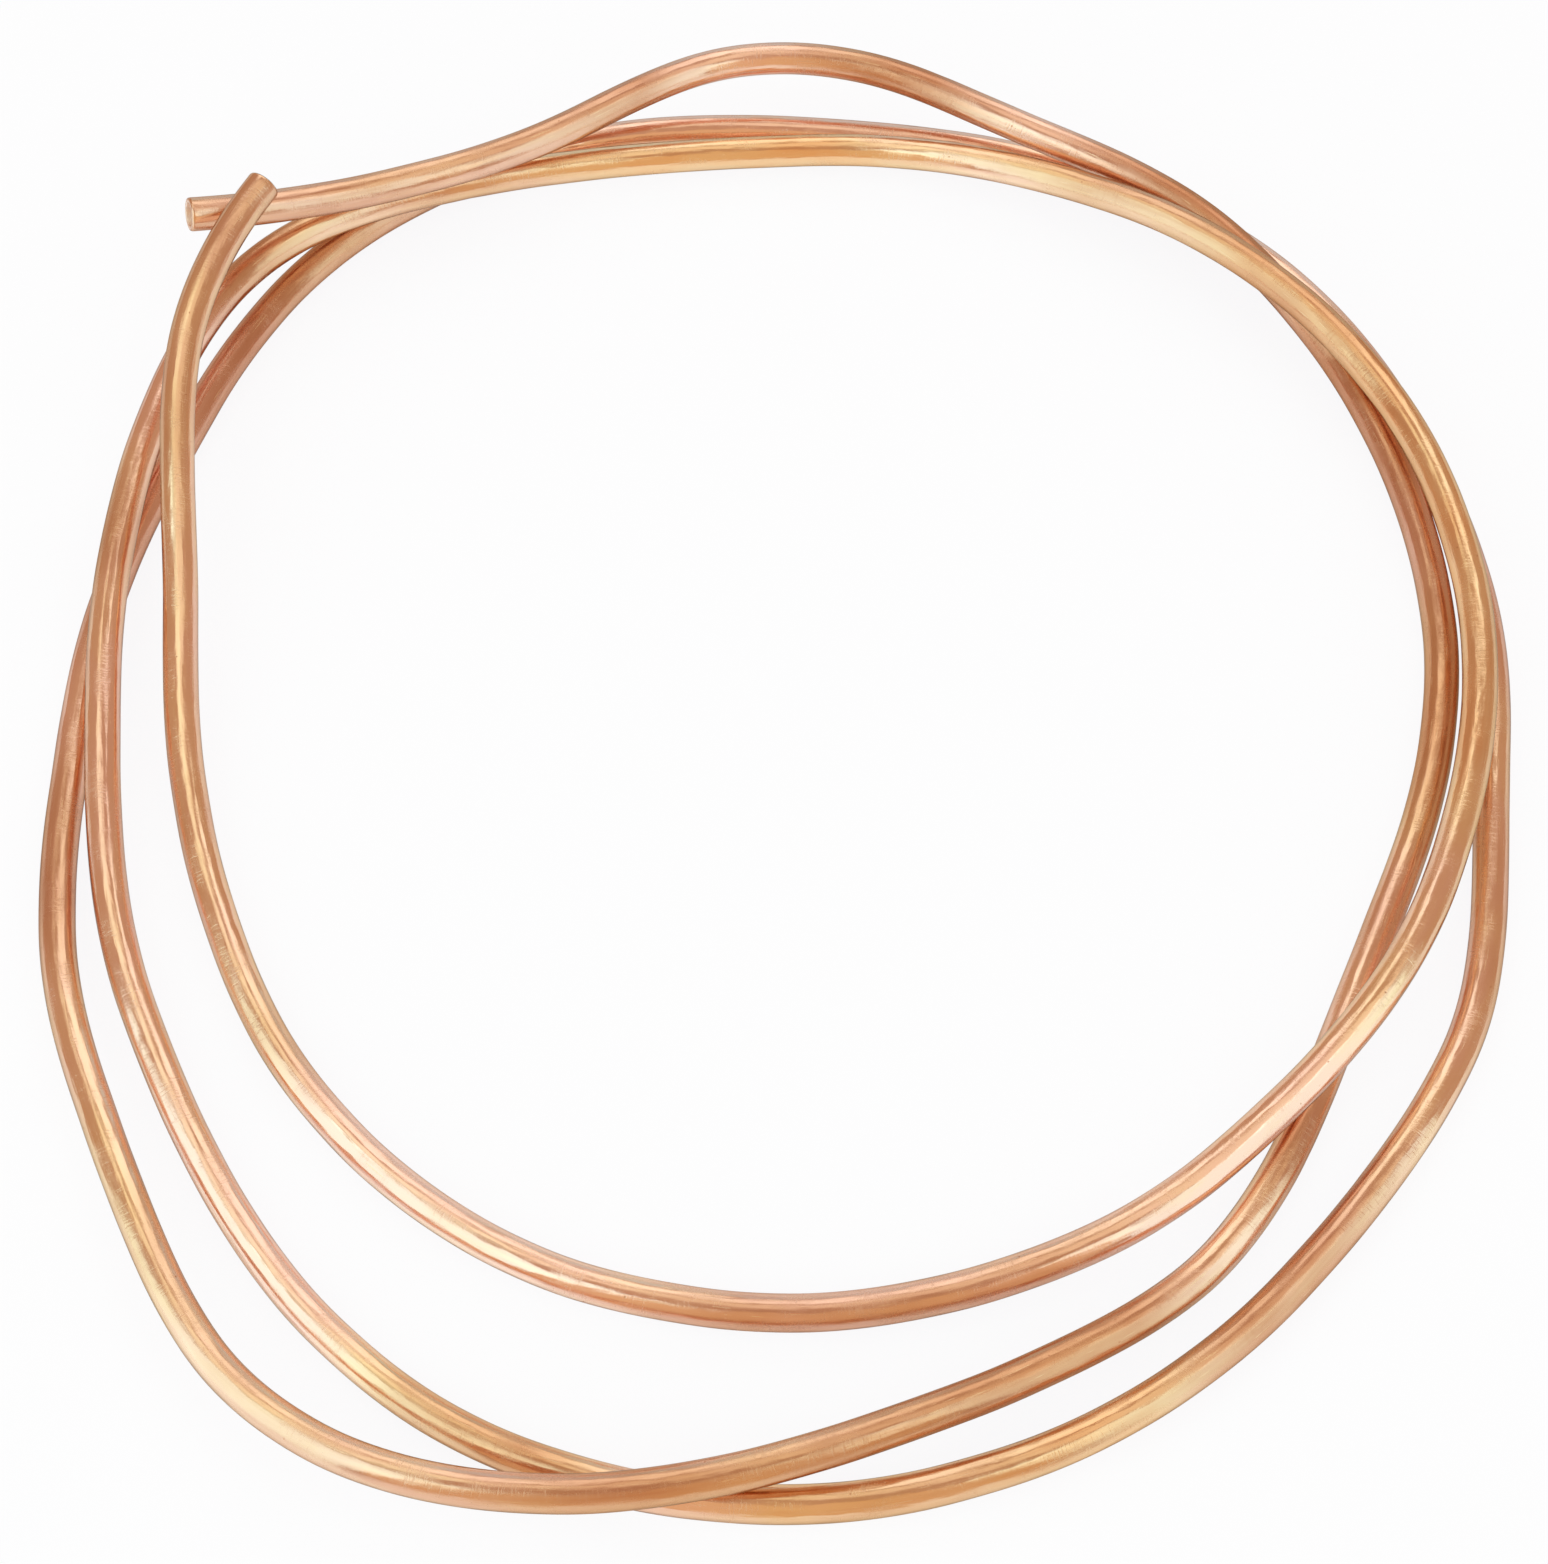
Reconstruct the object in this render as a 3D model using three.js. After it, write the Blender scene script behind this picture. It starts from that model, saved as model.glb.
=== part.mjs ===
// A hand coil of soft copper tube: one length of 8 mm tube, a little over 3 m, in three loose
// turns that wander over and under one another and lie on a level floor. Millimetres, +Z up.
// The tube is open from end to end, and both ends are cut square.
import * as THREE from "three";

// The tube's section.
const tubeDiameter = 8;
const wallThickness = 1;

// Strands that rest on one another keep this much air between them.
const strandGap = 0.3;

// The oval that the turns wander about, measured to the tube's centre line.
const coilWidth = 316;
const coilDepth = 360;

// The turns run clockwise seen from above, from the first cut end.
const startAngle = 142.7;
const sweepAngle = 1085;

// The facets of the solid.
const outerSides = 12;
const boreSides = 8;
const stepCount = 240;

const tubeRadius = tubeDiameter / 2;
const boreRadius = tubeRadius - wallThickness;
const strandPitch = tubeDiameter + strandGap;

// The tube is cut this far inside its outermost stations, counted in stations.
const endTrim = 0.04;

// Where the tube lies at each station: its distance outward from the oval and its height above
// a strand that lies on the floor, both counted in strands. The turns are a smooth curve that is
// led by these stations, and they reach from the second station to the last but one.
const firstTurn = [
  [9.4, 6.1], [1.9, 3.1], [-0.6, 1.8], [-1.7, 1.9], [0.4, 1.8], [0.3, 1.8],
  [-0.8, 1.4], [0.2, 1], [0.1, 0.6], [-0.1, 0.2], [-0.5, 0], [-1.4, 0],
  [-2.5, 0], [-2.1, 0], [-1.1, 0.1], [-1.4, 0.5], [-0.8, 0.9], [0.8, 1.1],
  [2.6, 1.1], [3.4, 0.8], [1.6, 0.5], [1.5, 0.2], [0.4, 0], [0.3, 0],
];
const secondTurn = [
  [-0.1, 0], [0.6, 0], [0.4, 0], [-0.2, 0], [-1, 0], [-1.2, 0],
  [-0.4, 0], [0.6, 0], [1.1, 0], [0.8, 0], [0.8, 0], [0, 0],
  [1, 0], [0.3, 0.1], [0.5, 0.1], [0.6, 0.1], [0.7, 0.1], [0.7, 0],
  [0.8, 0], [0.4, 0], [-0.3, 0.1], [-0.3, 0.3], [-0.6, 0.7], [0, 1],
];
const thirdTurn = [
  [0.8, 1.2], [1.6, 1.2], [-0.5, 0.9], [-1.8, 0.5], [-2.3, 0.3], [-1.9, 0.4],
  [-1.6, 0.9], [-0.9, 1.5], [-0.1, 1.6], [0.3, 1.5], [0.1, 1.4], [-0.7, 1.3],
  [-1.5, 1.2], [-2.7, 0.9], [-3.2, 0.6], [-3.9, 0.3], [-4.1, 0.1], [-4.1, 0],
  [-3.7, 0.1], [-3.4, 0.1], [-3.1, 0], [-3, 0.1], [-2.6, 0.5], [-2.1, 1.4],
];
const lastEnd = [[0.4, 3.3], [1.3, 3.8], [1.6, 4.5]];

const stations = [...firstTurn, ...secondTurn, ...thirdTurn, ...lastEnd];
const spanCount = stations.length - 3;

// The place of one station. The first one stands a step before the tube's start.
function stationPoint([outward, height], index) {
  const turned = (sweepAngle / spanCount) * (index - 1);
  const angle = THREE.MathUtils.degToRad(startAngle - turned);
  const away = outward * strandPitch;
  return new THREE.Vector3(
    (coilWidth / 2 + away) * Math.cos(angle),
    (coilDepth / 2 + away) * Math.sin(angle),
    tubeRadius + height * strandPitch,
  );
}

// The tube's centre line: a smooth curve whose curvature has no jumps, as a tube bends.
class TubeRoute extends THREE.Curve {
  constructor(points) {
    super();
    this.points = points;
    this.arcLengthDivisions = spanCount * 40;
  }

  getPoint(t, target = new THREE.Vector3()) {
    const along = endTrim + t * (spanCount - 2 * endTrim);
    const span = Math.min(Math.floor(along), spanCount - 1);
    const u = along - span;
    const weights = [
      (1 - u) ** 3 / 6,
      (3 * u ** 3 - 6 * u ** 2 + 4) / 6,
      (-3 * u ** 3 + 3 * u ** 2 + 3 * u + 1) / 6,
      u ** 3 / 6,
    ];
    target.set(0, 0, 0);
    weights.forEach((weight, i) => target.addScaledVector(this.points[span + i], weight));
    return target;
  }
}

// A round outline with flat sides.
function roundOutline(radius, sides) {
  const outline = [];
  for (let i = 0; i < sides; i += 1) {
    const angle = (2 * Math.PI * i) / sides;
    outline.push(new THREE.Vector2(radius * Math.cos(angle), radius * Math.sin(angle)));
  }
  return outline;
}

// The tube's wall: a ring swept along the centre line, open at both ends.
function copperTube() {
  const wall = new THREE.Shape(roundOutline(tubeRadius, outerSides));
  wall.holes.push(new THREE.Path(roundOutline(boreRadius, boreSides)));
  const route = new TubeRoute(stations.map(stationPoint));
  const geometry = new THREE.ExtrudeGeometry(wall, {
    steps: stepCount,
    bevelEnabled: false,
    extrudePath: route,
  });
  // The origin is the middle of the coil's underside.
  geometry.computeBoundingBox();
  const { min, max } = geometry.boundingBox;
  geometry.translate(-(min.x + max.x) / 2, -(min.y + max.y) / 2, -min.z);

  const copper = new THREE.MeshStandardMaterial({
    color: 0xc8875a,
    roughness: 0.32,
    metalness: 1,
  });
  const tube = new THREE.Mesh(geometry, copper);
  tube.name = "copper_tube";
  return tube;
}

const tubeCoil = new THREE.Group();
tubeCoil.name = "copper_tube_coil";
tubeCoil.add(copperTube());

export default tubeCoil;
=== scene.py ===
import math

import bpy
import numpy as np
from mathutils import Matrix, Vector


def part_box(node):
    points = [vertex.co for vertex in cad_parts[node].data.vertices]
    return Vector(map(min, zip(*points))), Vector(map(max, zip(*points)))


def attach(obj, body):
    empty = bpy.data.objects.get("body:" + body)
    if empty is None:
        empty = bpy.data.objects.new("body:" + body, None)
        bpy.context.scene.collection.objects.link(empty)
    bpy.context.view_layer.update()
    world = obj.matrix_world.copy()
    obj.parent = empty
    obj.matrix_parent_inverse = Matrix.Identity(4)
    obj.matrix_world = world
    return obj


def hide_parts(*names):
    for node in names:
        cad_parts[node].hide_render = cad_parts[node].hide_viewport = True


# A coil of soft copper tube: one length in three loose turns, lying on a light table.
# Metres, +Z up, in the same frame as the solid.
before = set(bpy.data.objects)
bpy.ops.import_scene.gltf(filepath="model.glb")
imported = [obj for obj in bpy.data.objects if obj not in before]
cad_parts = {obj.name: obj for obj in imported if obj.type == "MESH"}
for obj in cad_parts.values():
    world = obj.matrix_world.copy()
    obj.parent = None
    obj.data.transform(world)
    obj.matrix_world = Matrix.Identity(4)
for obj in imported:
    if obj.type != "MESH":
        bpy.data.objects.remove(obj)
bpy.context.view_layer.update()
scene = bpy.context.scene
mm = 0.001
print("frame loaded: " + ", ".join(sorted(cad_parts)))


def toLinear(hexColour):
    channels = [int(hexColour[i:i + 2], 16) / 255 for i in (1, 3, 5)]
    return (*[c / 12.92 if c <= 0.04045 else ((c + 0.055) / 1.055) ** 2.4 for c in channels], 1)


# Adds a node. An input that is another node's output is linked, and any other is set.
def addNode(tree, kind, settings, inputs):
    node = tree.nodes.new(kind)
    for name, value in settings.items():
        setattr(node, name, value)
    for name, value in inputs.items():
        if isinstance(value, bpy.types.NodeSocket):
            tree.links.new(value, node.inputs[name])
        else:
            node.inputs[name].default_value = value
    return node


route = {
    "tubeDiameter": 8,      # mm
    "strandGap": 0.3,       # mm, between strands that rest on one another
    "coilWidth": 316,       # mm, the oval that the turns wander about
    "coilDepth": 360,
    "startAngle": 142.7,    # degrees
    "sweepAngle": 1085,
    "endTrim": 0.04,        # stations cut off each end
    "ringSpacing": 2.25,    # mm, between the rings of the mesh
    "measuredSteps": 200,   # to each span between stations, to measure its length
}
# Where the tube lies at each station: how far outward from the oval, and how high above a
# strand on the floor, both counted in strands. Seen from above, the turns run clockwise.
# A separate fitting program worked these numbers out, and they were rounded to a tenth.
firstTurn = [
    (9.4, 6.1), (1.9, 3.1), (-0.6, 1.8), (-1.7, 1.9), (0.4, 1.8), (0.3, 1.8),
    (-0.8, 1.4), (0.2, 1), (0.1, 0.6), (-0.1, 0.2), (-0.5, 0), (-1.4, 0),
    (-2.5, 0), (-2.1, 0), (-1.1, 0.1), (-1.4, 0.5), (-0.8, 0.9), (0.8, 1.1),
    (2.6, 1.1), (3.4, 0.8), (1.6, 0.5), (1.5, 0.2), (0.4, 0), (0.3, 0),
]
secondTurn = [
    (-0.1, 0), (0.6, 0), (0.4, 0), (-0.2, 0), (-1, 0), (-1.2, 0),
    (-0.4, 0), (0.6, 0), (1.1, 0), (0.8, 0), (0.8, 0), (0, 0),
    (1, 0), (0.3, 0.1), (0.5, 0.1), (0.6, 0.1), (0.7, 0.1), (0.7, 0),
    (0.8, 0), (0.4, 0), (-0.3, 0.1), (-0.3, 0.3), (-0.6, 0.7), (0, 1),
]
thirdTurn = [
    (0.8, 1.2), (1.6, 1.2), (-0.5, 0.9), (-1.8, 0.5), (-2.3, 0.3), (-1.9, 0.4),
    (-1.6, 0.9), (-0.9, 1.5), (-0.1, 1.6), (0.3, 1.5), (0.1, 1.4), (-0.7, 1.3),
    (-1.5, 1.2), (-2.7, 0.9), (-3.2, 0.6), (-3.9, 0.3), (-4.1, 0.1), (-4.1, 0),
    (-3.7, 0.1), (-3.4, 0.1), (-3.1, 0), (-3, 0.1), (-2.6, 0.5), (-2.1, 1.4),
]
lastEnd = [(0.4, 3.3), (1.3, 3.8), (1.6, 4.5)]


# The centre line in mm at even steps, and how far along the tube each step is.
def walkRoute():
    stations = np.array(firstTurn + secondTurn + thirdTurn + lastEnd, float)
    spanCount = len(stations) - 3
    angle = np.radians(
        route["startAngle"] - route["sweepAngle"] / spanCount * (np.arange(len(stations)) - 1)
    )
    pitch = route["tubeDiameter"] + route["strandGap"]
    away, height = stations[:, 0] * pitch, stations[:, 1] * pitch
    leads = np.column_stack([
        (route["coilWidth"] / 2 + away) * np.cos(angle),
        (route["coilDepth"] / 2 + away) * np.sin(angle),
        route["tubeDiameter"] / 2 + height,
    ])

    # a smooth curve whose curvature has no jumps, as a tube bends
    def pointAt(along):
        span = np.minimum(along.astype(int), spanCount - 1)
        u = (along - span)[:, None]
        weights = [
            (1 - u) ** 3 / 6,
            (3 * u ** 3 - 6 * u ** 2 + 4) / 6,
            (-3 * u ** 3 + 3 * u ** 2 + 3 * u + 1) / 6,
            u ** 3 / 6,
        ]
        return sum(weight * leads[span + i] for i, weight in enumerate(weights))

    trim = route["endTrim"]
    along = np.linspace(trim, spanCount - trim, spanCount * route["measuredSteps"] + 1)
    steps = np.linalg.norm(np.diff(pointAt(along), axis=0), axis=1)
    walked = np.concatenate([[0], np.cumsum(steps)])
    stepCount = round(walked[-1] / route["ringSpacing"])
    places = np.linspace(0, walked[-1], stepCount + 1)
    return pointAt(np.interp(places, walked, along)), places


copperTube = {
    "outerRadius": 4,           # mm
    "boreRadius": 2.95,
    "sides": 40,
    "boreStep": 4,              # the bore has a ring at every fourth step
    "bendFlattening": 0.9,      # mm, over a bend's radius: the share by which it flattens the tube
    "mostFlattening": 0.02,
    "calmEnd": 40,              # mm at each end, cut where the tube was straighter and rounder
    # Strands waver a little where hands bent them: wavelength and depth in mm, phase. Up and
    # down they waver less, in longer waves that are out of step.
    "handWaves": [(71, 0.055, 0.4), (43, 0.04, 2.1), (27, 0.02, 4.4), (17, 0.008, 1.3)],
    "upShare": 0.6,
    "upLonger": 1.19,
    "upPhase": 2.3,
    # The die leaves the tube a little out of round: lobes, depth over the radius, drift in mm,
    # phase. The lobes swing round the tube as they drift.
    "dieLobes": [
        (2, 0.012, 230, 0.3), (3, 0.008, 150, 1.9), (5, 0.003, 190, 4), (7, 0.0015, 110, 2.6),
    ],
    "lobeSwing": 1.3,           # radians
    "slowDrift": 2.7,           # times the drift
    # Shallow dents, spread along and round the tube.
    "dentCount": 26,
    "dentDepth": 0.07,          # mm
    "dentWidth": 2.6,
    "dentScatter": 23,          # mm along the tube
    "scatterAngle": 2.4,        # radians, from one dent to the next
    "dentAngle": 2.39996,
    # Stretches that follow one another from the first end: where each stops in mm, how much
    # more brown it is than the rest, and how much pinker. Below 0 it is cleaner, or more golden
    # and then amber. The brown is partly tarnishing and partly painted shade where strands lie
    # under or beside others, and the cleaner stretches are partly painted highlight where the
    # tube mirrors a bright light. They were listed and tuned against measured tones.
    "toneShadeAndSheenStretches": [
        (70, 0.2, 0.4), (105, 0.3, 0.4), (130, 0.6, 0.3), (165, -0.4, 1), (210, 0.7, 0.4),
        (245, -0.1, 1), (350, 0.8, 1), (400, 0.2, 0.4), (450, 0.4, -1.2), (470, -0.3, -0.2),
        (490, 0.4, 0.2), (510, -0.4, 1), (550, 0.4, 0.1), (575, -0.5, 0.3), (640, 0.6, -0.6),
        (710, 0.4, -0.4), (830, 0.1, 0.1), (890, -0.3, -0.2), (940, 0.3, 0.2), (970, -0.3, 1),
        (1070, 0.3, 0.9), (1120, 0.6, -0.2), (1150, 0, 0), (1250, -0.6, 0.8), (1480, -0.2, 0.8),
        (1610, -0.1, 0.2), (1665, 0.5, 0.1), (1725, 0.1, -1.3), (1770, -0.1, -0.9), (1790, -0.5, 1),
        (1850, 0.3, -0.7), (2040, -0.7, 0.5), (2080, 0.1, 0.3), (2130, -0.5, 0.9), (2160, 0.5, -0.2),
        (2230, 0.1, -0.2), (2310, -0.4, -1), (2345, -0.3, -0.1), (2395, 0.3, -0.5), (2440, 0.5, -1.4),
        (2475, 0.1, -1.7), (2515, -0.4, -1.2), (2570, 0, -1.2), (2630, -0.4, 0), (2700, -0.4, 0.6),
        (2790, 0.2, 0.7), (2885, -0.4, 0.8), (2910, 0.3, -0.7), (3050, -0.2, 0.2), (3140, 0, 0),
    ],
    "stretchFade": 30,          # mm
    # the cut ends, from the skin to the bore: mm in from the end, mm taken off the wall
    "outerEdge": [(0.75, 0), (0.42, 0.04), (0.2, 0.13), (0.06, 0.27), (0, 0.42)],
    "innerEdge": [(0, 0.13), (0.05, 0.05), (0.16, 0)],
    "shadeRimDrop": 0.1,            # mm, where the painted dark rim on the second end starts
}
skinFinish, cutFinish, boreFinish, shadeRimFinish = range(4)


# How hands and the die left the tube: its centre line wavers, and its section is out of round.
def wearTube(middles, places, tangents, across, sides, ups, theta):
    size = copperTube
    turning = np.gradient(tangents, places, axis=0)
    curvature = np.linalg.norm(turning, axis=1)
    inward = turning / np.maximum(curvature, 1e-6)[:, None]
    flat = np.clip(size["bendFlattening"] * curvature, 0, size["mostFlattening"])
    lean = np.einsum("ijk,ik->ij", across, inward) ** 2
    radii = size["outerRadius"] * (1 - flat[:, None] * lean)

    calm = np.clip(np.minimum(places, places[-1] - places) / size["calmEnd"], 0, 1)
    for wavelength, depth, phase in size["handWaves"]:
        turn = 2 * np.pi * places / wavelength
        upTurn = turn / size["upLonger"] + size["upPhase"] * phase
        middles = middles + (calm * depth * np.sin(turn + phase))[:, None] * sides
        middles = middles + (calm * depth * size["upShare"] * np.sin(upTurn))[:, None] * ups
    for lobes, depth, drift, phase in size["dieLobes"]:
        turn = 2 * np.pi * places / drift
        swing = size["lobeSwing"] * (np.sin(turn + phase) + np.sin(turn / size["slowDrift"]))
        wave = np.cos(lobes * theta[None, :] + phase + swing[:, None]) - 1
        radii *= 1 + 0.5 * depth * calm[:, None] * wave
    for dent in range(size["dentCount"]):
        place = (dent + 0.5) / size["dentCount"] * places[-1]
        place += size["dentScatter"] * math.sin(dent * size["scatterAngle"])
        width = size["dentWidth"] * (0.7 + 0.6 * (dent * 0.618 % 1))
        depth = size["dentDepth"] * (0.5 + 0.8 * (dent * 0.37 % 1))
        turned = (theta - dent * size["dentAngle"] + np.pi) % (2 * np.pi) - np.pi
        along = np.exp(-((places - place) / width) ** 2)
        around = np.exp(-(turned * size["outerRadius"] / (0.6 * width)) ** 2)
        radii -= depth * along[:, None] * around
    return middles, radii


# How much more brown the tube is at each place, partly tarnishing and partly painted shade,
# with painted highlight where it is cleaner, and how much pinker. Neighbours fade into each other.
def toneShadeAndSheenAt(places):
    fade = copperTube["stretchFade"]
    toneShadeAndSheen = np.zeros((len(places), 3))
    start = 0
    for stop, tarnishShadeAndSheen, pinker in copperTube["toneShadeAndSheenStretches"]:
        rise = np.clip((places - start) / fade + 0.5, 0, 1) if start else 1
        share = rise * np.clip((stop - places) / fade + 0.5, 0, 1)
        toneShadeAndSheen += share[:, None] * (tarnishShadeAndSheen, pinker, 0)
        start = stop
    return toneShadeAndSheen


def buildTube():
    size = copperTube
    middles, places = walkRoute()
    length, last = places[-1], len(places) - 1
    count = size["sides"]
    theta = np.linspace(0, 2 * np.pi, count, endpoint=False)
    cosine, sine = np.cos(theta), np.sin(theta)

    # two directions across the tube, carried along it with as little turning as can be
    tangents = np.gradient(middles, axis=0)
    tangents /= np.linalg.norm(tangents, axis=1)[:, None]
    sides = [np.cross(tangents[0], (0, 0, 1))]
    for tangent in tangents:
        side = sides[-1] - tangent * (sides[-1] @ tangent)
        sides.append(side / np.linalg.norm(side))
    sides = np.array(sides[1:])
    ups = np.cross(sides, tangents)
    across = sides[:, None] * cosine[None, :, None] + ups[:, None] * sine[None, :, None]
    middles, radii = wearTube(middles, places, tangents, across, sides, ups, theta)

    # The rings go up the skin, over one cut end, back down the bore and over the other cut end.
    rings, pipeMm, finishes, spots, toneShadeAndSheenRings = [], [], [], [], []
    toneShadeAndSheen = toneShadeAndSheenAt(places)

    def addRing(step, radius, inset, finish, spot):
        towards = 1 if step < last / 2 else -1
        around = across[step] * np.broadcast_to(radius, count)[:, None]
        rings.append(middles[step] + tangents[step] * inset * towards + around)
        mean = np.mean(radius)
        place = np.full(count, places[step] + inset * towards)
        pipeMm.append(np.column_stack([mean * cosine, mean * sine, place]))
        finishes.append(finish)
        spots.append(spot)
        toneShadeAndSheenRings.append(np.broadcast_to(toneShadeAndSheen[step], (count, 3)))

    wall, bore = size["outerRadius"], size["boreRadius"]
    for i, (inset, drop) in enumerate(reversed(size["outerEdge"])):
        addRing(0, wall - drop, inset, skinFinish, ("edge", 0, i))
    for step in range(1, last):
        addRing(step, radii[step], 0, skinFinish, ("skin", places[step] if step > 1 else 0, 0))
    for i, (inset, drop) in enumerate(size["outerEdge"]):
        # where the rounded rim of the second end drops furthest, it is painted dark as shade along its
        # outline
        finish = cutFinish if inset == 0 else shadeRimFinish if drop > size["shadeRimDrop"] else skinFinish
        addRing(last, wall - drop, inset, finish, ("edge", 1, i))
    for i, (inset, drop) in enumerate(size["innerEdge"]):
        addRing(last, bore + drop, inset, boreFinish, ("edge", 1, i + len(size["outerEdge"])))
    for step in range(last - size["boreStep"], size["boreStep"] // 2, -size["boreStep"]):
        addRing(step, bore, 0, boreFinish, ("bore", places[step], 0))
    for i, (inset, drop) in enumerate(reversed(size["innerEdge"])):
        addRing(0, bore + drop, inset, boreFinish if inset else cutFinish, ("edge", 2, i))

    vertices = np.concatenate(rings)
    low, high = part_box("copper_tube")
    lowest, highest = vertices.min(0), vertices.max(0)
    vertices[:, :2] += (np.array(low + high)[:2] / mm - lowest[:2] - highest[:2]) / 2
    vertices[:, 2] += low.z / mm - lowest[2]  # the coil lies on the floor, as the solid does

    ringStart = np.arange(len(rings))[:, None] * count
    nextStart = np.roll(ringStart, -1, axis=0)
    here = np.arange(count)[None, :]
    beside = (here + 1) % count
    faces = np.stack([
        ringStart + here, nextStart + here, nextStart + beside, ringStart + beside,
    ], axis=-1).reshape(-1, 4)
    mesh = bpy.data.meshes.new("softCopperTube")
    mesh.from_pydata((vertices * mm).tolist(), [], faces.tolist())
    mesh.shade_smooth()
    mesh.polygons.foreach_set("material_index", np.repeat(finishes, count))
    # what the materials read: the place on the straightened tube in mm, and its tone with tarnishing,
    # painted shade and painted highlight
    for name, values in (("pipeMm", pipeMm), ("toneShadeAndSheen", toneShadeAndSheenRings)):
        attribute = mesh.attributes.new(name, "FLOAT_VECTOR", "POINT")
        attribute.data.foreach_set("vector", np.concatenate(values).astype(np.float32).ravel())
    layOutMap(mesh, spots, length)
    mesh.update()
    tube = bpy.data.objects.new("softCopperTube", mesh)
    scene.collection.objects.link(tube)
    print(f"tube: {length:.0f} mm long, {len(rings)} rings, {2 * len(faces)} triangles")
    return tube


# A flat map of the tube for a painter or a baker: the skin in rows, the bore in one thin row,
# and the two cut ends enlarged beside each other. All but the row count and the margin are
# shares of the map's side.
flatMap = {
    "skinRows": 11,
    "rowMargin": 0.5,           # mm, before each row's strip
    "rowWidth": 0.985,
    "rowFill": 0.965,           # the share of a row's height that its strip takes
    "skinBottom": 0.085,
    "boreBottom": 0.004,
    "boreHeight": 0.03,
    "boreWidth": 0.99,
    "edgeBottom": 0.04,
    "edgeHeight": 0.04,
    "edgeStep": 0.045,          # for each ring of a cut end
    "gap": 0.002,
}


def layOutMap(mesh, spots, length):
    count, ringCount = copperTube["sides"], len(spots)
    outerCount = len(copperTube["outerEdge"])
    rowLength = length / flatMap["skinRows"]
    rowHeight = (1 - flatMap["skinBottom"]) / flatMap["skinRows"]
    rowScale = flatMap["rowWidth"] / (rowLength + 2 * route["ringSpacing"])
    uv = np.zeros((ringCount, count, 4, 2))
    around = np.arange(count + 1) / count
    for i in range(ringCount):
        kind, value, edge = spots[i]
        nextKind, nextValue, nextEdge = spots[(i + 1) % ringCount]
        if "skin" in (kind, nextKind):
            start = value if kind == "skin" else 0
            stop = nextValue if nextKind == "skin" else length
            row = min(int(start / rowLength), flatMap["skinRows"] - 1)
            margin = flatMap["rowMargin"] - row * rowLength
            u0, u1 = (start + margin) * rowScale, (stop + margin) * rowScale
            if i < outerCount:
                u0 = 0
            v0, height = flatMap["skinBottom"] + row * rowHeight, rowHeight * flatMap["rowFill"]
        elif "bore" in (kind, nextKind):
            start = value if kind == "bore" else length
            stop = nextValue if nextKind == "bore" else 0
            u0, u1 = (flatMap["gap"] + flatMap["boreWidth"] * v / length for v in (start, stop))
            v0, height = flatMap["boreBottom"], flatMap["boreHeight"]
        else:
            block = 0.5 if 1 in (value, nextValue) else 0
            index = edge + (outerCount + 2 if value == 2 else 0)
            u0 = block + flatMap["edgeStep"] * index + flatMap["gap"]
            u1 = u0 + flatMap["edgeStep"]
            v0, height = flatMap["edgeBottom"], flatMap["edgeHeight"]
        below, above = v0 + height * around[:-1], v0 + height * around[1:]
        for corner, (u, v) in enumerate(((u0, below), (u1, below), (u1, above), (u0, above))):
            uv[i, :, corner] = np.column_stack([np.full(count, u), v])
    uvLayer = mesh.uv_layers.new(name="OFBake")
    uvLayer.data.foreach_set("uv", uv.astype(np.float32).ravel())
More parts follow.
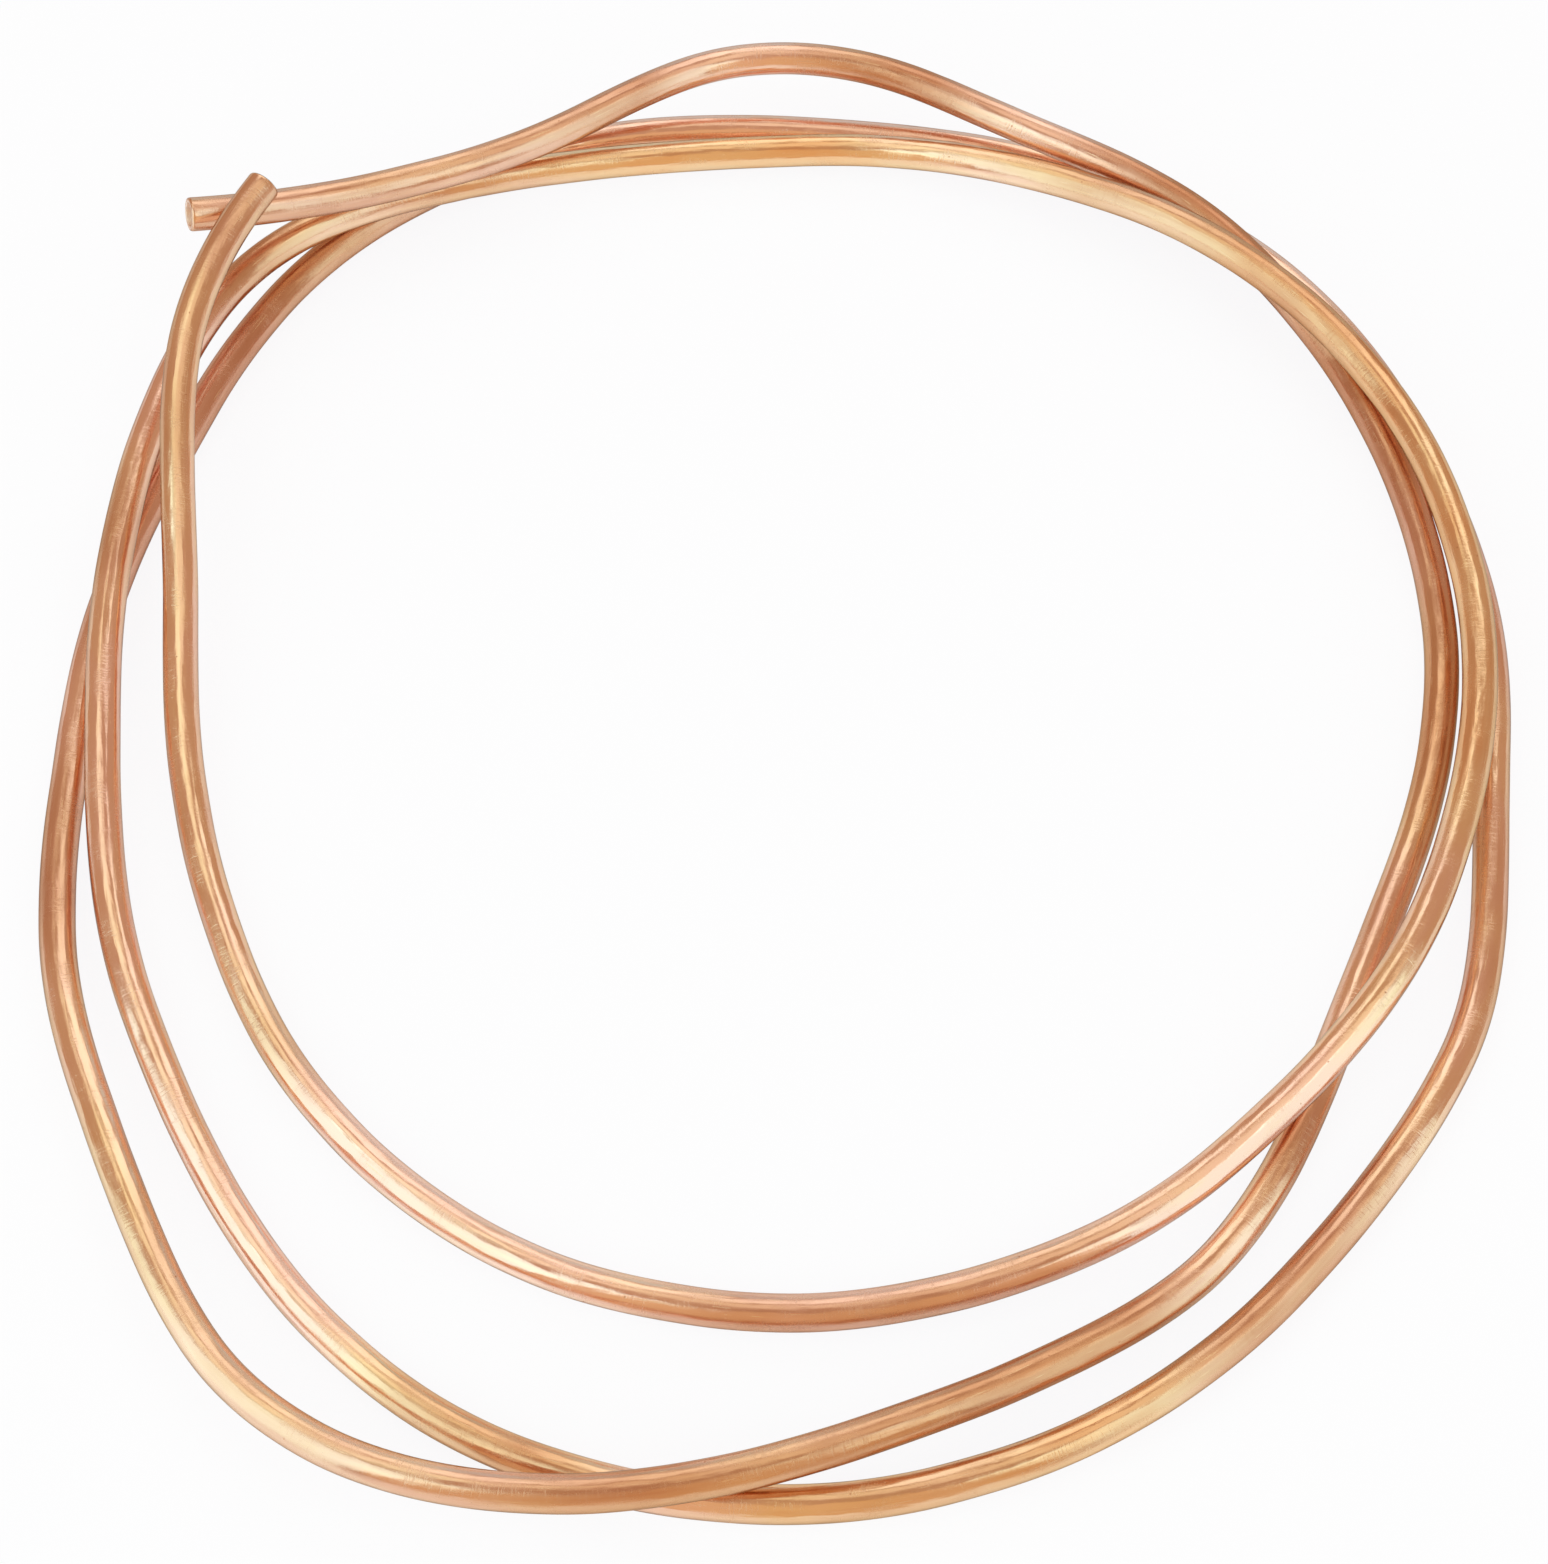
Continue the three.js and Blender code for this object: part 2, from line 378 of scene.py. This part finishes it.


# Soft copper, drawn through a die and annealed bright: a clean warm mirror. Fine draw lines along
# it smear what it mirrors, its tone runs from amber through gold to pink, and brown tarnishing
# dulls it in places. Part of that brown is painted shade, where strands lie under or beside others.
drawnCopper = {
    "amber": "#F9C595",
    "golden": "#F9D3A9",
    "pink": "#FACDB9",
    # the brown of tarnishing, also laid on as painted shade where strands lie under others
    "brownTarnishAndShade": "#CB8B67",
    "edgeTint": "#B0A8A2",      # what a low angle mirrors is darker, through the thin film of oxide
    "blurAcross": 0.7,          # draw lines blur what it mirrors across the tube more than along it
    "blurTurn": 0.25,           # of a full turn, from along the tube to across it
    "smoothest": 0.11,
    "roughest": 0.36,
    "dullRange": (0.35, 1.5),   # the dullness that is smoothest, and the one that is roughest
    "toneReach": 0.6,           # how far a stretch that is 1 pinker shifts the tone
    "amberReach": 2,
    "tarnishedEverywhere": 0.25,  # the share of brown where the tube is neither clean nor brown
    "cloudTarnish": 1.2,        # how strongly clouds break up the tarnish
    "bandTarnish": 0.12,        # and how much of it follows the broad streaks
    # each pattern: mm across and along the tube, and how many times it is broken up finer
    "patterns": {
        "toneDrift": (7, 34, 5),
        "tarnishCloud": (11, 42, 6),
        "patch": (4, 13, 5),        # where the annealing left the skin duller
        "wobble": (5, 27, 3),       # how hands and rollers left the skin uneven
        "dieBand": (2.4, 80, 3),    # the broader streaks
        "drawLine": (0.45, 55, 3),  # real draw lines are nearer 0.05 mm across
        "chatter": (3, 0.55, 3),    # faint marks across the tube in the dull patches
        "scuff": (0.4, 9, 2),       # scratches from handling; real ones are about 0.1 mm across
    },
    "scuffTurn": (0.5, 0.3, 0.2),   # radians, so that scuffs cross the draw lines
    "grain": 0.6,               # mm, the pebbling of annealed grains, coarser than the real 0.1 mm
    "pitSpacing": 5,            # mm; each pit is 0.3 mm out to its soft rim, coarser than real
    # each mark's pattern, and where in it the mark starts and is full
    "marks": {
        "tone": ("toneDrift", 0.2, 0.8),
        "patch": ("patch", 0.4, 0.66),
        "band": ("dieBand", 0.46, 0.7),
        "chatter": ("chatter", 0.5, 0.7),
        "scuff": ("scuff", 0.66, 0.72),
        "pit": ("pit", 0.06, 0.01),     # inward from its rim, in shares of the spacing
    },
    # which colour each mark takes, and how much of it at most
    "stains": {
        "amber": ("amber", 1),
        "tarnishAndShade": ("brownTarnishAndShade", 1),
        "scuff": ("golden", 0.5),
        "pit": ("brownTarnishAndShade", 0.8),
    },
    "dulling": {"patch": 0.5, "tarnishAndShade": 0.35, "chatter": 0.5, "scuff": 0.4},
    # the relief: strength, depth in mm, and whether it is sunk into the skin
    "relief": {
        "wobble": (1, 0.4, False),
        "dieBand": (0.45, 0.09, False),
        "drawLine": (0.32, 0.03, False),
        "chatter": (0.6, 0.02, True),
        "grain": (0.5, 0.016, False),
        "scuff": (0.4, 0.012, True),
        "pit": (0.6, 0.04, True),
    },
}


def makeDrawnCopper():
    finish = drawnCopper
    material = bpy.data.materials.new("brightDrawnSoftCopper")
    material.use_nodes = True
    tree = material.node_tree
    shader = tree.nodes["Principled BSDF"]
    shader.inputs["Metallic"].default_value = 1
    shader.inputs["Specular Tint"].default_value = toLinear(finish["edgeTint"])
    shader.inputs["Anisotropic"].default_value = finish["blurAcross"]
    shader.inputs["Anisotropic Rotation"].default_value = finish["blurTurn"]
    lengthwise = addNode(tree, "ShaderNodeTangent", {"direction_type": "UV_MAP", "uv_map": "OFBake"}, {})
    tree.links.new(lengthwise.outputs["Tangent"], shader.inputs["Tangent"])
    place = addNode(tree, "ShaderNodeAttribute", {"attribute_name": "pipeMm"}, {}).outputs["Vector"]
    toneShadeAndSheen = addNode(tree, "ShaderNodeAttribute", {"attribute_name": "toneShadeAndSheen"}, {}).outputs["Vector"]
    stretch = addNode(tree, "ShaderNodeSeparateXYZ", {}, {"Vector": toneShadeAndSheen})
    tarnishShadeAndSheen, pinker = stretch.outputs["X"], stretch.outputs["Y"]

    heights = {}
    for name, (width, long, detail) in finish["patterns"].items():
        stretched = addNode(tree, "ShaderNodeMapping", {}, {
            "Vector": place,
            "Rotation": finish["scuffTurn"] if name == "scuff" else (0, 0, 0),
            "Scale": (1 / width, 1 / width, 1 / long),
        })
        heights[name] = addNode(tree, "ShaderNodeTexNoise", {}, {
            "Vector": stretched.outputs["Vector"], "Scale": 1, "Detail": detail, "Roughness": 0.55,
        }).outputs["Fac"]
    heights["grain"] = addNode(tree, "ShaderNodeTexNoise", {}, {
        "Vector": place, "Scale": 1 / finish["grain"], "Detail": 3, "Roughness": 0.6,
    }).outputs["Fac"]
    heights["pit"] = addNode(tree, "ShaderNodeTexVoronoi", {}, {
        "Vector": place, "Scale": 1 / finish["pitSpacing"], "Randomness": 1,
    }).outputs["Distance"]

    # each mark's share of the skin, from 0 to 1
    shares = {}
    for name, (pattern, start, full) in finish["marks"].items():
        shares[name] = addNode(tree, "ShaderNodeMapRange", {"interpolation_type": "SMOOTHSTEP"}, {
            "Value": heights[pattern], "From Min": start, "From Max": full,
        }).outputs["Result"]

    # tarnishing and painted shade: what the stretch has, clouded, and a little more in the broad streaks
    cloudy = addNode(tree, "ShaderNodeMath", {"operation": "MULTIPLY_ADD"}, {
        0: heights["tarnishCloud"], 1: finish["cloudTarnish"], 2: tarnishShadeAndSheen,
    }).outputs[0]
    streaky = addNode(tree, "ShaderNodeMath", {"operation": "MULTIPLY_ADD"}, {
        0: shares["band"], 1: finish["bandTarnish"], 2: cloudy,
    }).outputs[0]
    usual = (finish["cloudTarnish"] + finish["bandTarnish"]) / 2
    shares["tarnishAndShade"] = addNode(tree, "ShaderNodeMath", {"operation": "SUBTRACT", "use_clamp": True}, {
        0: streaky, 1: usual - finish["tarnishedEverywhere"],
    }).outputs[0]

    # the tone runs from golden at 0 to pink at 1, and below 0 to amber
    tone = addNode(tree, "ShaderNodeMath", {"operation": "MULTIPLY_ADD"}, {
        0: pinker, 1: finish["toneReach"], 2: shares["tone"],
    }).outputs[0]
    shares["amber"] = addNode(tree, "ShaderNodeMath", {"operation": "MULTIPLY", "use_clamp": True}, {
        0: tone, 1: -finish["amberReach"],
    }).outputs[0]
    colour = addNode(tree, "ShaderNodeMix", {"data_type": "RGBA"}, {
        0: tone, 6: toLinear(finish["golden"]), 7: toLinear(finish["pink"]),
    }).outputs[2]
    for name, (stain, most) in finish["stains"].items():
        share = addNode(tree, "ShaderNodeMath", {"operation": "MULTIPLY"}, {0: shares[name], 1: most})
        colour = addNode(tree, "ShaderNodeMix", {"data_type": "RGBA"}, {
            0: share.outputs[0], 6: colour, 7: toLinear(finish[stain]),
        }).outputs[2]
    tree.links.new(colour, shader.inputs["Base Color"])

    shares["chatter"] = addNode(tree, "ShaderNodeMath", {"operation": "MULTIPLY"}, {
        0: shares["chatter"], 1: shares["patch"],
    }).outputs[0]
    dull = heights["drawLine"]
    for name, much in finish["dulling"].items():
        dull = addNode(tree, "ShaderNodeMath", {"operation": "MULTIPLY_ADD"}, {
            0: shares[name], 1: much, 2: dull,
        }).outputs[0]
    smoothAt, roughAt = finish["dullRange"]
    rough = addNode(tree, "ShaderNodeMapRange", {}, {
        "Value": dull, "From Min": smoothAt, "From Max": roughAt,
        "To Min": finish["smoothest"], "To Max": finish["roughest"],
    })
    tree.links.new(rough.outputs["Result"], shader.inputs["Roughness"])

    normal = None
    for name, (strength, deep, sunk) in finish["relief"].items():
        inputs = {
            "Height": shares[name] if sunk else heights[name],
            "Strength": strength,
            "Distance": deep * mm,
        }
        if normal:
            inputs["Normal"] = normal
        normal = addNode(tree, "ShaderNodeBump", {"invert": sunk}, inputs).outputs["Normal"]
    tree.links.new(normal, shader.inputs["Normal"])
    return material


# The wall where it was sawn off square: brighter and pinker than the skin, with the saw's fine
# grain, coarser here than the real 0.1 mm.
sawnCopper = {
    "bright": "#F9D6C2",
    "shaded": "#DDA98A",
    "mark": (0.25, 0.25),       # mm across and along the tube
    "smoothest": 0.26,
    "roughest": 0.42,
}
# The second end kept its burr, filed down: a thin rim of dull grey brown.
# On the second end the rounded outer rim is painted dull grey brown: painted shade, drawn as a dark
# outline round the cut end.
paintedShadeRim = {
    "bright": "#8A7466",
    "shaded": "#46382F",
    "mark": (0.2, 0.2),
    "smoothest": 0.36,
    "roughest": 0.5,
}
# The bore: a duller skin with coarse lines along it, painted near white as painted light, so that
# the mouth reads pale where the bore's own shade would darken it.
paintedLightBore = {
    "bright": "#FEEDE2",
    "shaded": "#F6D6C4",
    "mark": (0.6, 12),
    "smoothest": 0.36,
    "roughest": 0.5,
}
grainStrength = 0.4
grainDepth = 0.03               # mm


def makeGrainedCopper(name, finish):
    material = bpy.data.materials.new(name)
    material.use_nodes = True
    tree = material.node_tree
    shader = tree.nodes["Principled BSDF"]
    shader.inputs["Metallic"].default_value = 1
    place = addNode(tree, "ShaderNodeAttribute", {"attribute_name": "pipeMm"}, {}).outputs["Vector"]
    width, long = finish["mark"]
    stretched = addNode(tree, "ShaderNodeMapping", {}, {
        "Vector": place, "Scale": (1 / width, 1 / width, 1 / long),
    })
    marks = addNode(tree, "ShaderNodeTexNoise", {}, {
        "Vector": stretched.outputs["Vector"], "Scale": 1, "Detail": 4, "Roughness": 0.6,
    }).outputs["Fac"]
    colour = addNode(tree, "ShaderNodeMix", {"data_type": "RGBA"}, {
        0: marks, 6: toLinear(finish["bright"]), 7: toLinear(finish["shaded"]),
    })
    rough = addNode(tree, "ShaderNodeMapRange", {}, {
        "Value": marks, "From Min": 0.3, "From Max": 0.7,
        "To Min": finish["smoothest"], "To Max": finish["roughest"],
    })
    bump = addNode(tree, "ShaderNodeBump", {}, {
        "Height": marks, "Strength": grainStrength, "Distance": grainDepth * mm,
    })
    tree.links.new(colour.outputs[2], shader.inputs["Base Color"])
    tree.links.new(rough.outputs["Result"], shader.inputs["Roughness"])
    tree.links.new(bump.outputs["Normal"], shader.inputs["Normal"])
    return material


tube = buildTube()
# in the order of skinFinish, cutFinish, boreFinish and shadeRimFinish
for material in (
    makeDrawnCopper(),
    makeGrainedCopper("sawnCopperEnd", sawnCopper),
    makeGrainedCopper("paintedLightCopperBore", paintedLightBore),
    makeGrainedCopper("paintedShadeRimCopper", paintedShadeRim),
):
    tube.data.materials.append(material)
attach(tube, "root")
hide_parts("copper_tube")
print("tube finished in copper")


# Each soft light: azimuth from +Y towards +X and height in degrees, distance and size in metres,
# and how bright it looks beside the white of the floor. A separate fitting program gave the
# first values, and many were then changed a little by hand.
softLights = {
    "leftSoftbox": {
        "azimuth": -118, "height": 24, "distance": 1.5,
        "size": (1.45, 3.0), "glow": 1.25, "tint": "#BBF5FF",
    },
    "rightSoftbox": {
        "azimuth": 121, "height": 27, "distance": 1.5,
        "size": (1.15, 2.2), "glow": 1.02, "tint": "#BCF5FF",
    },
    "backPanel": {
        "azimuth": 10, "height": 4, "distance": 1.6,
        "size": (1.5, 0.9), "glow": 0.6, "tint": "#78DBFF",
    },
    "highBackPanel": {
        "azimuth": 8, "height": 43, "distance": 1.5,
        "size": (1.26, 0.8), "glow": 1.04, "tint": "#DAF4F6",
    },
    "overheadPanel": {
        "azimuth": 23, "height": 80, "distance": 1.5,
        "size": (2.0, 0.6), "glow": 0.5, "tint": "#EBFFF0",
    },
    "leftTopPanel": {
        "azimuth": -61, "height": 69, "distance": 1.5,
        "size": (0.75, 0.5), "glow": 0.35, "tint": "#C1FFEE",
    },
    "frontCard": {
        "azimuth": 180, "height": 26, "distance": 1.6,
        "size": (2.0, 2.3), "glow": 0.22, "tint": "#FFEFA8",
    },
}
lightsAim = Vector((0, 0, 0.02))  # m, the middle of the coil


def addSoftLight(name, light):
    around, up = math.radians(light["azimuth"]), math.radians(light["height"])
    place = Vector((math.sin(around) * math.cos(up), math.cos(around) * math.cos(up), math.sin(up)))
    place *= light["distance"]
    lamp = bpy.data.lights.new(name, "AREA")
    lamp.shape = "RECTANGLE"
    lamp.size, lamp.size_y = light["size"]
    lamp.color = toLinear(light["tint"])[:3]
    lamp.energy = light["glow"] * math.pi * lamp.size * lamp.size_y
    box = bpy.data.objects.new(name, lamp)
    box.location = place
    box.rotation_euler = (lightsAim - place).to_track_quat("-Z", "Y").to_euler()
    box.visible_camera = False
    scene.collection.objects.link(box)


for name, light in softLights.items():
    addSoftLight(name, light)

studio = {
    "surroundings": "#C3A388",  # the warm room that the copper mirrors between the lights
    "backdrop": "#FCFCFC",      # what the camera sees beyond the floor
}
world = bpy.data.worlds.new("studioRoom")
world.use_nodes = True
scene.world = world
tree = world.node_tree
tree.nodes.clear()
ray = addNode(tree, "ShaderNodeLightPath", {}, {})
mirrored = addNode(tree, "ShaderNodeBackground", {}, {"Color": toLinear(studio["surroundings"])})
beyond = addNode(tree, "ShaderNodeBackground", {}, {"Color": toLinear(studio["backdrop"])})
either = addNode(tree, "ShaderNodeMixShader", {}, {
    0: ray.outputs["Is Camera Ray"], 1: mirrored.outputs[0], 2: beyond.outputs[0],
})
addNode(tree, "ShaderNodeOutputWorld", {}, {"Surface": either.outputs[0]})
print("studio lit")

lightTable = {
    "side": 30,                 # m
    "surface": "#E4E4E4",       # what the copper mirrors, soft shadows and all
    "glow": 0.92,               # light that comes up through it
    "glowTone": "#D1ECFF",
    "glossShare": 0.5,          # of its surface, which mirrors softly
    "glossTone": "#F2F2F2",
    "glossRoughness": 0.3,
    "exposedTone": "#FDFDFF",   # the camera is exposed until the table is nearly all white
    "exposedGlow": 0.903,
    "shadowShare": 0.15,        # how much of the soft shadows that leaves
    "fadeStart": 0.4,           # m from the coil's middle, where it runs on into the backdrop
    "fadeEnd": 1.2,
}


# White acrylic, lit from below and from all round, so that its shadows are soft and pale.
def makeLitAcrylic():
    finish = lightTable
    acrylic = bpy.data.materials.new("litWhiteAcrylic")
    acrylic.use_nodes = True
    tree = acrylic.node_tree
    tree.nodes.clear()
    matt = addNode(tree, "ShaderNodeBsdfDiffuse", {}, {"Color": toLinear(finish["surface"])})
    fromBelow = addNode(tree, "ShaderNodeEmission", {}, {
        "Color": toLinear(finish["glowTone"]), "Strength": finish["glow"],
    })
    lit = addNode(tree, "ShaderNodeAddShader", {}, {0: matt.outputs[0], 1: fromBelow.outputs[0]})
    gloss = addNode(tree, "ShaderNodeBsdfGlossy", {}, {
        "Color": toLinear(finish["glossTone"]), "Roughness": finish["glossRoughness"],
    })
    mirroredTable = addNode(tree, "ShaderNodeMixShader", {}, {
        0: finish["glossShare"], 1: lit.outputs[0], 2: gloss.outputs[0],
    })
    exposed = addNode(tree, "ShaderNodeEmission", {}, {
        "Color": toLinear(finish["exposedTone"]),
        "Strength": finish["exposedGlow"] / (1 - finish["shadowShare"]),
    })
    nearTable = addNode(tree, "ShaderNodeMixShader", {}, {
        0: finish["shadowShare"], 1: exposed.outputs[0], 2: matt.outputs[0],
    })
    # far from the coil the table runs on into the backdrop, with no line between them
    spot = addNode(tree, "ShaderNodeNewGeometry", {}, {}).outputs["Position"]
    reach = addNode(tree, "ShaderNodeVectorMath", {"operation": "LENGTH"}, {0: spot}).outputs["Value"]
    far = addNode(tree, "ShaderNodeMapRange", {"interpolation_type": "SMOOTHSTEP"}, {
        "Value": reach, "From Min": finish["fadeStart"], "From Max": finish["fadeEnd"],
    }).outputs["Result"]
    sweep = addNode(tree, "ShaderNodeEmission", {}, {"Color": toLinear(studio["backdrop"])})
    seenTable = addNode(tree, "ShaderNodeMixShader", {}, {
        0: far, 1: nearTable.outputs[0], 2: sweep.outputs[0],
    })
    ray = addNode(tree, "ShaderNodeLightPath", {}, {})
    either = addNode(tree, "ShaderNodeMixShader", {}, {
        0: ray.outputs["Is Camera Ray"], 1: mirroredTable.outputs[0], 2: seenTable.outputs[0],
    })
    addNode(tree, "ShaderNodeOutputMaterial", {}, {"Surface": either.outputs[0]})
    return acrylic


half = lightTable["side"] / 2
corners = [(-half, -half, 0), (half, -half, 0), (half, half, 0), (-half, half, 0)]
tableMesh = bpy.data.meshes.new("lightTable")
tableMesh.from_pydata(corners, [], [(0, 1, 2, 3)])
tableMesh.materials.append(makeLitAcrylic())
table = bpy.data.objects.new("lightTable", tableMesh)
scene.collection.objects.link(table)
print("table laid")

view = {
    "lens": 70,             # mm
    "sensor": 36,
    "height": 60.5,         # degrees above the floor
    "distance": 683,        # mm
    "nearest": 10,          # mm, what the camera still sees
    "aim": (-3.072, -16.126, -0.012),  # mm, the place on the floor in the middle of the view
}
lens = bpy.data.cameras.new("camera")
lens.lens = view["lens"]
lens.sensor_width = view["sensor"]
lens.clip_start = view["nearest"] * mm
camera = bpy.data.objects.new("camera", lens)
tilt = math.radians(view["height"])
back = Vector((0, -math.cos(tilt), math.sin(tilt))) * view["distance"]
camera.location = (Vector(view["aim"]) + back) * mm
camera.rotation_euler = (math.pi / 2 - tilt, 0, 0)
scene.collection.objects.link(camera)
scene.camera = camera
scene.view_settings.view_transform = "Standard"
print("camera placed")
